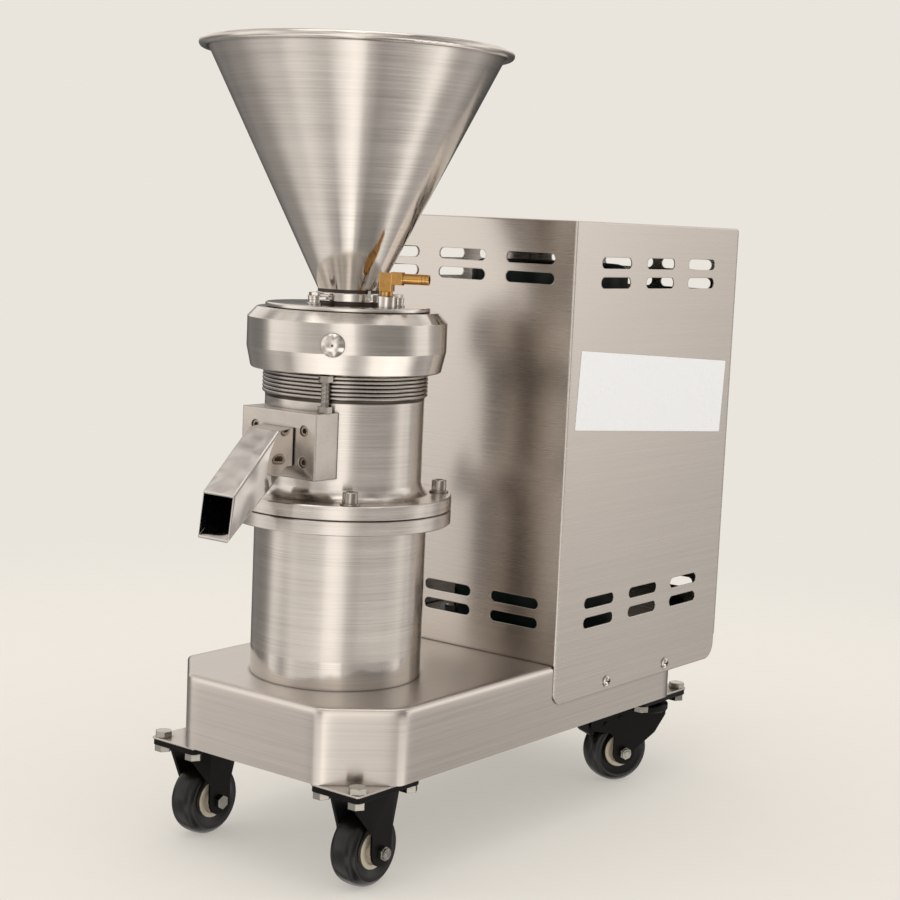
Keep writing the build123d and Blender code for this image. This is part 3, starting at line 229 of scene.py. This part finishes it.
def turned_steel(name, base=(0.64, 0.60, 0.56), rough=0.22, aniso=0.8, grain=1.0, scale=700.0, bevel=0.0007, bands=(), centre=MILL, soft=0.0006, groove_shade=None):
    """steel turned about an upright axis: fine rings round it; bands are (z0, z1, roughness) in metres"""
    m, g, b = material(name)
    obj, x, y, z = position(g)
    xr = g.math("SUBTRACT", x, centre.x)
    yr = g.math("SUBTRACT", y, centre.y)
    r = g.math("SQRT", g.math("ADD", g.math("MULTIPLY", xr, xr), g.math("MULTIPLY", yr, yr)))
    slow = g.math("ADD", g.math("MULTIPLY", xr, 9.0), g.math("MULTIPLY", yr, 7.0))
    vec = g.comb(g.math("MULTIPLY", r, scale), g.math("MULTIPLY", z, scale), slow)
    fine = g.noise(vec, 1.0, 5.0, 0.62)
    coarse = g.noise(vec, 0.13, 2.0, 0.5)
    f = g.math("ADD", g.math("MULTIPLY", fine, 0.65), g.math("MULTIPLY", coarse, 0.35))
    dark = tuple(c * (1 - 0.13 * grain) for c in base)
    lite = tuple(min(1, c * (1 + 0.10 * grain)) for c in base)
    col = g.ramp(f, [(0.30, dark), (0.50, base), (0.70, lite)])
    if groove_shade:
        # painted shade over the thread and the band under the ring, darkest at the thread's roots where shade falls:
        # (z0, z1, crest radius, depth)
        groove_shade_mask = g.math("MULTIPLY", g.mapr(z, groove_shade[0] - 0.0008, groove_shade[0], 0, 1), g.mapr(z, groove_shade[1], groove_shade[1] + 0.0008, 1, 0))
        groove_shade_mask = g.math("MULTIPLY", groove_shade_mask, g.mapr(r, groove_shade[2] - 0.0001, groove_shade[2] - groove_shade[3], 0.35, 1.0))
        col = g.mixc(groove_shade_mask, col, (0.075, 0.064, 0.054))
    # painted shade: base colour darkened by ambient occlusion where pieces meet
    g.put(b, "Base Color", painted_contact_shade(g, col, 0.004))
    b.inputs["Metallic"].default_value = 1.0
    ro = g.mapr(f, 0.3, 0.7, rough - 0.03, rough + 0.04)
    for z0, z1, rr in bands:
        inside = g.math("MULTIPLY", g.mapr(z, z0 - soft, z0 + soft, 0, 1), g.mapr(z, z1 - soft, z1 + soft, 1, 0))
        ro = g.mixf(inside, ro, rr)
    g.put(b, "Roughness", ro)
    b.inputs["Anisotropic"].default_value = aniso
    b.inputs["Anisotropic Rotation"].default_value = 0.25
    shift = g.comb(xr, yr, z)
    tan = g.new("ShaderNodeTangent", direction_type="RADIAL", axis="Z")
    # the tangent node turns about the mesh's own middle, so it is made here from the axis instead
    t = g.new("ShaderNodeVectorMath", operation="CROSS_PRODUCT")
    g.put(t, 0, (0.0, 0.0, 1.0)); g.put(t, 1, shift)
    t = g.new("ShaderNodeVectorMath", {0: t.outputs[0]}, operation="NORMALIZE")
    g.t.nodes.remove(tan)
    g.put(b, "Tangent", t.outputs[0])
    nrm = g.new("ShaderNodeBevel", {"Radius": bevel}, samples=4).outputs[0] if bevel else None
    bump(g, b, f, 0.08 * grain, 0.0002, nrm)
    return m


def plain_metal(name, base, rough, var=0.05, scale=260.0, bevel=0.0005, bump_s=0.05, metal=1.0, tint=0.08, wave=None):
    m, g, b = material(name)
    obj, x, y, z = position(g)
    n1 = g.noise(obj, scale, 4.0, 0.6)
    n2 = g.noise(obj, scale * 0.12, 2.0, 0.5)
    f = g.math("ADD", g.math("MULTIPLY", n1, 0.5), g.math("MULTIPLY", n2, 0.5))
    col = g.ramp(f, [(0.32, tuple(c * (1 - tint) for c in base)), (0.5, base), (0.68, tuple(min(1, c * (1 + tint)) for c in base))])
    # painted shade: base colour darkened by ambient occlusion towards 0.12 of itself where pieces meet
    g.put(b, "Base Color", painted_contact_shade(g, col, 0.004, tuple(c * 0.12 for c in base)))
    b.inputs["Metallic"].default_value = metal
    g.put(b, "Roughness", g.mapr(f, 0.3, 0.7, max(0.02, rough - var), rough + var))
    nrm = g.new("ShaderNodeBevel", {"Radius": bevel}, samples=4).outputs[0] if bevel else None
    if wave:
        wn = g.new("ShaderNodeBump", {"Height": g.noise(obj, wave[0], 1.0, 0.4), "Strength": wave[1], "Distance": wave[2]})
        if nrm is not None:
            g.put(wn, "Normal", nrm)
        nrm = wn.outputs[0]
    bump(g, b, n1, bump_s, 0.0003, nrm)
    return m


def coated(name, base, rough, scale=900.0, bump_s=0.25, bevel=0.0008, spec=0.5, dust=0.0, vary=0.15):
    """paint, powder coat, rubber and plastic"""
    m, g, b = material(name)
    obj, x, y, z = position(g)
    n1 = g.noise(obj, scale, 3.0, 0.55)
    n2 = g.noise(obj, 28.0, 3.0, 0.55)
    col = g.ramp(n2, [(0.3, tuple(c * (1 - vary) for c in base)), (0.7, tuple(min(1, c * (1 + vary) + dust) for c in base))])
    g.put(b, "Base Color", col)
    b.inputs["Specular IOR Level"].default_value = spec
    g.put(b, "Roughness", g.mapr(n2, 0.3, 0.7, rough - 0.05, rough + 0.06))
    nrm = g.new("ShaderNodeBevel", {"Radius": bevel}, samples=4).outputs[0] if bevel else None
    bump(g, b, n1, bump_s, 0.00012, nrm)
    return m


def threaded(name, base, rough, pitch):
    """bolt with an upright thread, one turn per pitch: painted shade in the roots and painted highlight on the crests
    """
    m, g, b = material(name)
    obj, x, y, z = position(g)
    w = g.math("SINE", g.math("MULTIPLY", z, 2 * math.pi / pitch))
    n = g.noise(obj, 300.0, 3.0, 0.5)
    # painted shade and highlight: roots darkened to 0.16 of the colour, crests lightened to 1.3
    col = g.ramp(g.mapr(w, -1.0, 1.0, 0.0, 1.0), [(0.15, tuple(c * 0.16 for c in base)), (0.6, base), (0.9, tuple(min(1, c * 1.3) for c in base))])
    g.put(b, "Base Color", col)
    b.inputs["Metallic"].default_value = 1.0
    g.put(b, "Roughness", g.mapr(n, 0.3, 0.7, rough - 0.04, rough + 0.06))
    bump(g, b, w, 0.5, 0.0003)
    return m


M = {}
M["panel"] = brushed_panel("brushed_sheet", rough=0.25, bevel=0.0014, freq=2300.0, grain=0.75)
BX, BL, CX, CY = 149.0, 608.8, 59.0, 57.1
BASE = prism([(-BX + CX, 0), (BX - CX, 0), (BX, CY), (BX, BL - CY), (BX - CX, BL), (-BX + CX, BL), (-BX, BL - CY), (-BX, CY)], 182.75)
M["base"] = brushed_panel("brushed_base", rough=0.21, aniso=0.6, grain=0.9, freq=1900.0, flat_rough=0.14, planes=BASE, reach=0.0026)
# mill body: painted shade over its thread band and under the ring
M["turned"] = turned_steel("turned_steel", groove_shade=(0.4700, 0.4985, 0.0846, 0.0012))
M["pedestal"] = turned_steel("turned_pedestal", rough=0.24, bands=((0.1827, 0.2118, 0.12),))
M["ring"] = turned_steel("turned_ring", rough=0.16, scale=900.0, grain=0.7)
M["hopper"] = turned_steel("hopper_steel", base=(0.66, 0.62, 0.58), rough=0.20, scale=520.0, grain=0.9, bevel=0.0, bands=((0.570, 0.660, 0.10),), soft=0.02)
M["cover"] = turned_steel("polished_cover", base=(0.68, 0.64, 0.60), rough=0.10, aniso=0.5, grain=0.5, scale=1200.0)
M["block"] = plain_metal("satin_block", (0.50, 0.46, 0.42), 0.18, scale=420.0, bevel=0.0016, wave=(16.0, 0.5, 0.003))
M["chute"] = plain_metal("polished_sheet", (0.56, 0.53, 0.50), 0.09, var=0.03, scale=90.0, bevel=0.0014, bump_s=0.02, tint=0.04, wave=(17.0, 0.9, 0.012))
M["bolt"] = plain_metal("bright_fastener", (0.66, 0.62, 0.58), 0.17, var=0.04)
M["zinc"] = plain_metal("zinc_fastener", (0.37, 0.355, 0.32), 0.15, var=0.06, bevel=0.0009)
M["bronzed"] = plain_metal("bronzed_screw", (0.36, 0.295, 0.235), 0.20, var=0.05, bevel=0.0006)
M["nuts"] = plain_metal("plain_nut", (0.40, 0.37, 0.33), 0.17, var=0.05, bevel=0.0008)
M["cross"] = plain_metal("cross_head_screw", (0.70, 0.67, 0.62), 0.13, var=0.03, bevel=0.0005)
M["threaded"] = threaded("threaded_rod_painted_shade", (0.44, 0.41, 0.37), 0.24, 0.00125)
M["machined"] = plain_metal("machined_steel", (0.55, 0.53, 0.51), 0.30)
M["brass"] = plain_metal("brass", (0.60, 0.335, 0.105), 0.20, var=0.05, tint=0.12)
M["castiron"] = plain_metal("cast_pulley", (0.22, 0.22, 0.22), 0.42, scale=500.0, bump_s=0.2)
M["rubber"] = coated("black_rubber", (0.012, 0.010, 0.009), 0.50, scale=600.0, spec=0.3)
M["amber"] = coated("brown_rubber", (0.034, 0.018, 0.010), 0.40, scale=600.0, spec=0.5)
M["belt"] = coated("belt_rubber", (0.022, 0.021, 0.020), 0.70, scale=500.0)
M["plastic"] = coated("black_plastic", (0.010, 0.010, 0.010), 0.40, scale=700.0, spec=0.3)
M["coat"] = coated("black_coat", (0.0045, 0.0040, 0.0036), 0.34, scale=1500.0, bump_s=0.35, spec=0.12)
M["tyre"] = coated("caster_tyre", (0.0040, 0.0027, 0.0018), 0.27, scale=400.0, bump_s=0.15, spec=0.36)
M["cream"] = coated("cream_hub", (0.66, 0.59, 0.47), 0.33, scale=300.0, bump_s=0.08)
M["green"] = coated("green_paint", (0.004, 0.026, 0.018), 0.38, scale=500.0, bump_s=0.15)
M["label"] = coated("white_label", (0.86, 0.875, 0.905), 0.28, scale=200.0, bump_s=0.02, bevel=0.0, vary=0.003)

USE = {
    "base": ["base_shell"],
    "panel": ["motor_cover", "rear_panel", "corner_plates"],
    "turned": ["mill_body"],
    "pedestal": ["pedestal"],
    "ring": ["adjusting_ring"],
    "hopper": ["hopper"],
    "cover": ["cover_plate", "hopper_clamp_ring"],
    "block": ["discharge_block"],
    "chute": ["discharge_chute"],
    "bolt": ["ring_pin", "clamp_screws"],
    "cross": ["cover_screws"],
    "nuts": ["flange_bolts", "limit_screw_nuts"],
    "bronzed": ["block_screws"],
    "threaded": ["limit_screw"],
    "zinc": ["motor_bolts", "front_caster_axles", "rear_axle_right", "rear_axle_left", "caster_bolts"],
    "machined": ["bearing_cartridge", "spindle_bearing_outer_rings", "spindle_bearing_inner_rings", "spindle", "stator_holder", "stator_ring",
                 "grinding_rotor", "rotor_nut", "motor_shaft"],
    "brass": ["brass_elbow"],
    "castiron": ["spindle_pulley", "motor_pulley"],
    "rubber": ["flange_gasket", "shaft_seal"],
    "amber": ["throat_gaskets"],
    "belt": ["v_belts"],
    "plastic": ["cable_gland", "motor_fan"],
    "coat": ["front_caster_forks", "rear_caster_plates", "rear_fork_right", "rear_fork_left", "brake_pedal_right", "brake_pedal_left"],
    "tyre": ["front_tyre_right", "front_tyre_left", "rear_tyre_right", "rear_tyre_left"],
    "cream": ["front_hub_right", "front_hub_left", "rear_hub_right", "rear_hub_left"],
    "green": ["motor_frame", "motor_fan_cover", "terminal_box"],
    "label": ["blank_label"],
}


def set_material(o, m):
    o.data.materials.clear()
    o.data.materials.append(m)
    for p in o.data.polygons:
        p.material_index = 0


def smooth(o, angle=30.0):
    """joins the mesh's seams, keeps its corners sharp and lets flat faces stay flat beside rounded ones"""
    for p in o.data.polygons:
        p.use_smooth = True
    w = o.modifiers.new("weld", "WELD")
    w.merge_threshold = 0.000004
    e = o.modifiers.new("corners", "EDGE_SPLIT")
    e.split_angle = math.radians(angle)
    e.use_edge_sharp = False
    n = o.modifiers.new("normals", "WEIGHTED_NORMAL")
    n.weight = 60
    n.keep_sharp = False


for key, names in USE.items():
    for n in names:
        set_material(N[n], M[key])
        smooth(N[n])



# ------------------------------------------------------------------ stage
def sky():
    """plain pale surroundings to the eye; to the metal, a studio of soft boxes and dark gaps round the object"""
    w = bpy.data.worlds.new("studio")
    bpy.context.scene.world = w
    w.use_nodes = True
    g = Nodes(w.node_tree)
    out = g.new("ShaderNodeOutputWorld")
    tc = g.new("ShaderNodeTexCoord")
    s = g.new("ShaderNodeSeparateXYZ", {0: tc.outputs["Generated"]})
    az = g.math("ARCTAN2", s.outputs[0], g.math("MULTIPLY", s.outputs[1], -1.0))
    rel = g.math("SUBTRACT", az, yaw)
    rel = g.math("WRAP", rel, math.pi, -math.pi)
    t = g.math("ADD", g.math("DIVIDE", rel, 2 * math.pi), 0.5)
    # (degrees from the camera's own side, light as seen in the steel)
    low = [(-180, 60), (-158, 84), (-146, 108), (-122, 104), (-110, 112), (-101, 150), (-93, 205), (-86, 198), (-80, 172), (-73, 148), (-66, 178), (-59, 196), (-48, 172), (-27, 158),
           (-18, 178), (-12, 222), (-4, 240), (4, 248), (9, 238), (13, 186), (21, 158), (29, 130), (40, 118), (70, 118), (80, 150), (92, 208), (98, 194), (103, 152), (110, 170), (116, 152),
           (134, 104), (165, 58)]
    level = [(-180, 60), (-158, 84), (-146, 108), (-122, 104), (-110, 112), (-101, 150), (-93, 220), (-84, 232), (-76, 238), (-70, 234), (-60, 216), (-48, 176), (-27, 160),
             (-18, 178), (-12, 222), (-4, 240), (6, 246), (11, 240), (15, 205), (21, 165), (29, 134), (40, 120), (70, 118), (80, 155), (92, 216), (104, 240), (108, 232), (112, 190), (118, 164),
             (124, 150), (134, 104), (165, 58)]
    high = [(-180, 214), (-140, 205), (-100, 200), (-90, 220), (-60, 214), (-30, 180), (-10, 222), (8, 222), (20, 180), (45, 150), (70, 150), (90, 205), (110, 214), (140, 205), (180, 214)]

    def lin(v):
        c = v / 255
        return (((c + 0.055) / 1.055) ** 2.4) / 0.60 / 1.6
    lo = g.ramp(t, [((a + 180) / 360, lin(v)) for a, v in low])
    hi = g.ramp(t, [((a + 180) / 360, lin(v)) for a, v in high])
    el = g.math("ARCSINE", s.outputs[2])
    f = g.mapr(el, math.radians(1.0), math.radians(14.0), 0.0, 1.0, True)
    lv = g.ramp(t, [((a + 180) / 360, lin(v)) for a, v in level])
    lo = g.mixc(g.mapr(el, math.radians(-11.0), math.radians(-1.0), 0.0, 1.0, True), lo, lv)
    deep = [(-180, 205), (-152, 190), (-138, 84), (-124, 80), (-114, 190), (-100, 206), (-60, 200), (-42, 165), (-27, 150), (-14, 215), (0, 250), (9, 240), (14, 180), (29, 122), (62, 112), (76, 135),
            (90, 205), (104, 222), (118, 205), (135, 225), (152, 215), (180, 205)]
    dp = g.ramp(t, [((a + 180) / 360, lin(v)) for a, v in deep])
    skirt = [(-180, 90), (-146, 120), (-110, 130), (-90, 168), (-82, 172), (-75, 160), (-68, 152), (-60, 200), (-48, 235), (-27, 262), (-14, 262), (-3, 250), (6, 192), (12, 176), (18, 180),
             (26, 205), (36, 258), (60, 270), (80, 258), (92, 176), (98, 138), (108, 146), (118, 160), (134, 120), (165, 70)]
    sk = g.ramp(t, [((a + 180) / 360, lin(v)) for a, v in skirt])
    lo = g.mixc(g.mapr(el, math.radians(-17.0), math.radians(-15.2), 0.0, 1.0, True), sk, lo)
    lo = g.mixc(g.mapr(el, math.radians(-44.0), math.radians(-32.0), 0.0, 1.0, True), dp, lo)
    env = g.mixc(f, lo, hi)
    zen = g.mapr(el, math.radians(50), math.radians(72), 1.0, 1.85, True)
    # slow changes of light overhead, as from ceiling panels
    wob = g.mapr(g.noise(tc.outputs["Generated"], 2.6, 2.0, 0.5), 0.38, 0.62, 0.45, 1.1, True)
    wob = g.mixf(g.mapr(el, math.radians(22), math.radians(34), 0.0, 1.0, True), 1.0, wob)
    wob = g.mixf(g.mapr(el, math.radians(62), math.radians(74), 0.0, 1.0, True), wob, 1.0)
    zw = g.math("MULTIPLY", zen, wob)
    env = g.mixc(1.0, env, g.new("ShaderNodeCombineColor", {0: zw, 1: zw, 2: zw}).outputs[0], "MULTIPLY")
    down = g.mapr(el, math.radians(-80), math.radians(-62), 0.75, 1.0, True)
    env = g.mixc(1.0, env, g.new("ShaderNodeCombineColor", {0: down, 1: down, 2: down}).outputs[0], "MULTIPLY")
    env = g.mixc(1.0, env, (1.0, 0.955, 0.905), "MULTIPLY")
    glossy = g.new("ShaderNodeBackground", {"Color": env, "Strength": 1.6})
    seen = g.new("ShaderNodeBackground", {"Color": (0.814, 0.783, 0.716, 1.0), "Strength": 1.0})
    fill = g.new("ShaderNodeBackground", {"Color": (1.0, 0.97, 0.93, 1.0), "Strength": 0.95})
    lp = g.new("ShaderNodeLightPath")
    mix = g.new("ShaderNodeMixShader", {0: lp.outputs["Is Diffuse Ray"], 1: glossy.outputs[0], 2: fill.outputs[0]})
    mix = g.new("ShaderNodeMixShader", {0: lp.outputs["Is Camera Ray"], 1: mix.outputs[0], 2: seen.outputs[0]})
    g.t.links.new(mix.outputs[0], out.inputs[0])


def floor():
    me = bpy.data.meshes.new("floor")
    bm = bmesh.new()
    bmesh.ops.create_circle(bm, cap_ends=True, segments=96, radius=3.2)
    bm.to_mesh(me)
    bm.free()
    o = bpy.data.objects.new("floor", me)
    bpy.context.scene.collection.objects.link(o)
    o.location = (0, 0, -0.0002)
    m, g, b = material("floor")
    obj, x, y, z = position(g)
    r = g.math("SQRT", g.math("ADD", g.math("MULTIPLY", x, x), g.math("MULTIPLY", y, y)))
    n = g.noise(obj, 30.0, 3.0, 0.5)
    g.put(b, "Base Color", g.ramp(n, [(0.3, (0.390, 0.374, 0.350)), (0.7, (0.396, 0.380, 0.356))]))
    b.inputs["Emission Color"].default_value = (0.814, 0.783, 0.716, 1.0)
    b.inputs["Emission Strength"].default_value = 0.465
    b.inputs["Roughness"].default_value = 0.9
    b.inputs["Specular IOR Level"].default_value = 0.1
    clear = g.new("ShaderNodeBsdfTransparent")
    f = g.mapr(r, 0.75, 1.9, 1.0, 0.0, True)
    mix = g.new("ShaderNodeMixShader", {0: f, 1: clear.outputs[0], 2: b.outputs[0]})
    out = [q for q in g.t.nodes if q.type == "OUTPUT_MATERIAL"][0]
    g.t.links.new(mix.outputs[0], out.inputs[0])
    me.materials.append(m)
    o.visible_glossy = False


def area(name, loc, target, size, power, colour=(1.0, 0.965, 0.92), glossy=False):
    d = bpy.data.lights.new(name, "AREA")
    d.shape = "RECTANGLE"
    d.size, d.size_y = size
    d.energy = power
    d.color = colour
    o = bpy.data.objects.new(name, d)
    bpy.context.scene.collection.objects.link(o)
    o.location = loc
    o.rotation_mode = "QUATERNION"
    o.rotation_quaternion = (Vector(target) - Vector(loc)).to_track_quat("-Z", "Y")
    o.visible_glossy = glossy
    return o


sky()
floor()
area("top_box", (0.1, -0.1, 2.6), (0.0, 0.0, 0.0), (2.6, 2.6), 24.0)
area("key_box", (-1.6, -1.9, 1.6), (0.0, 0.0, 0.35), (1.2, 1.6), 5.0)

sc = bpy.context.scene
sc.view_settings.view_transform = "Standard"
sc.view_settings.look = "None"
sc.view_settings.exposure = 0.0
sc.view_settings.gamma = 1.0
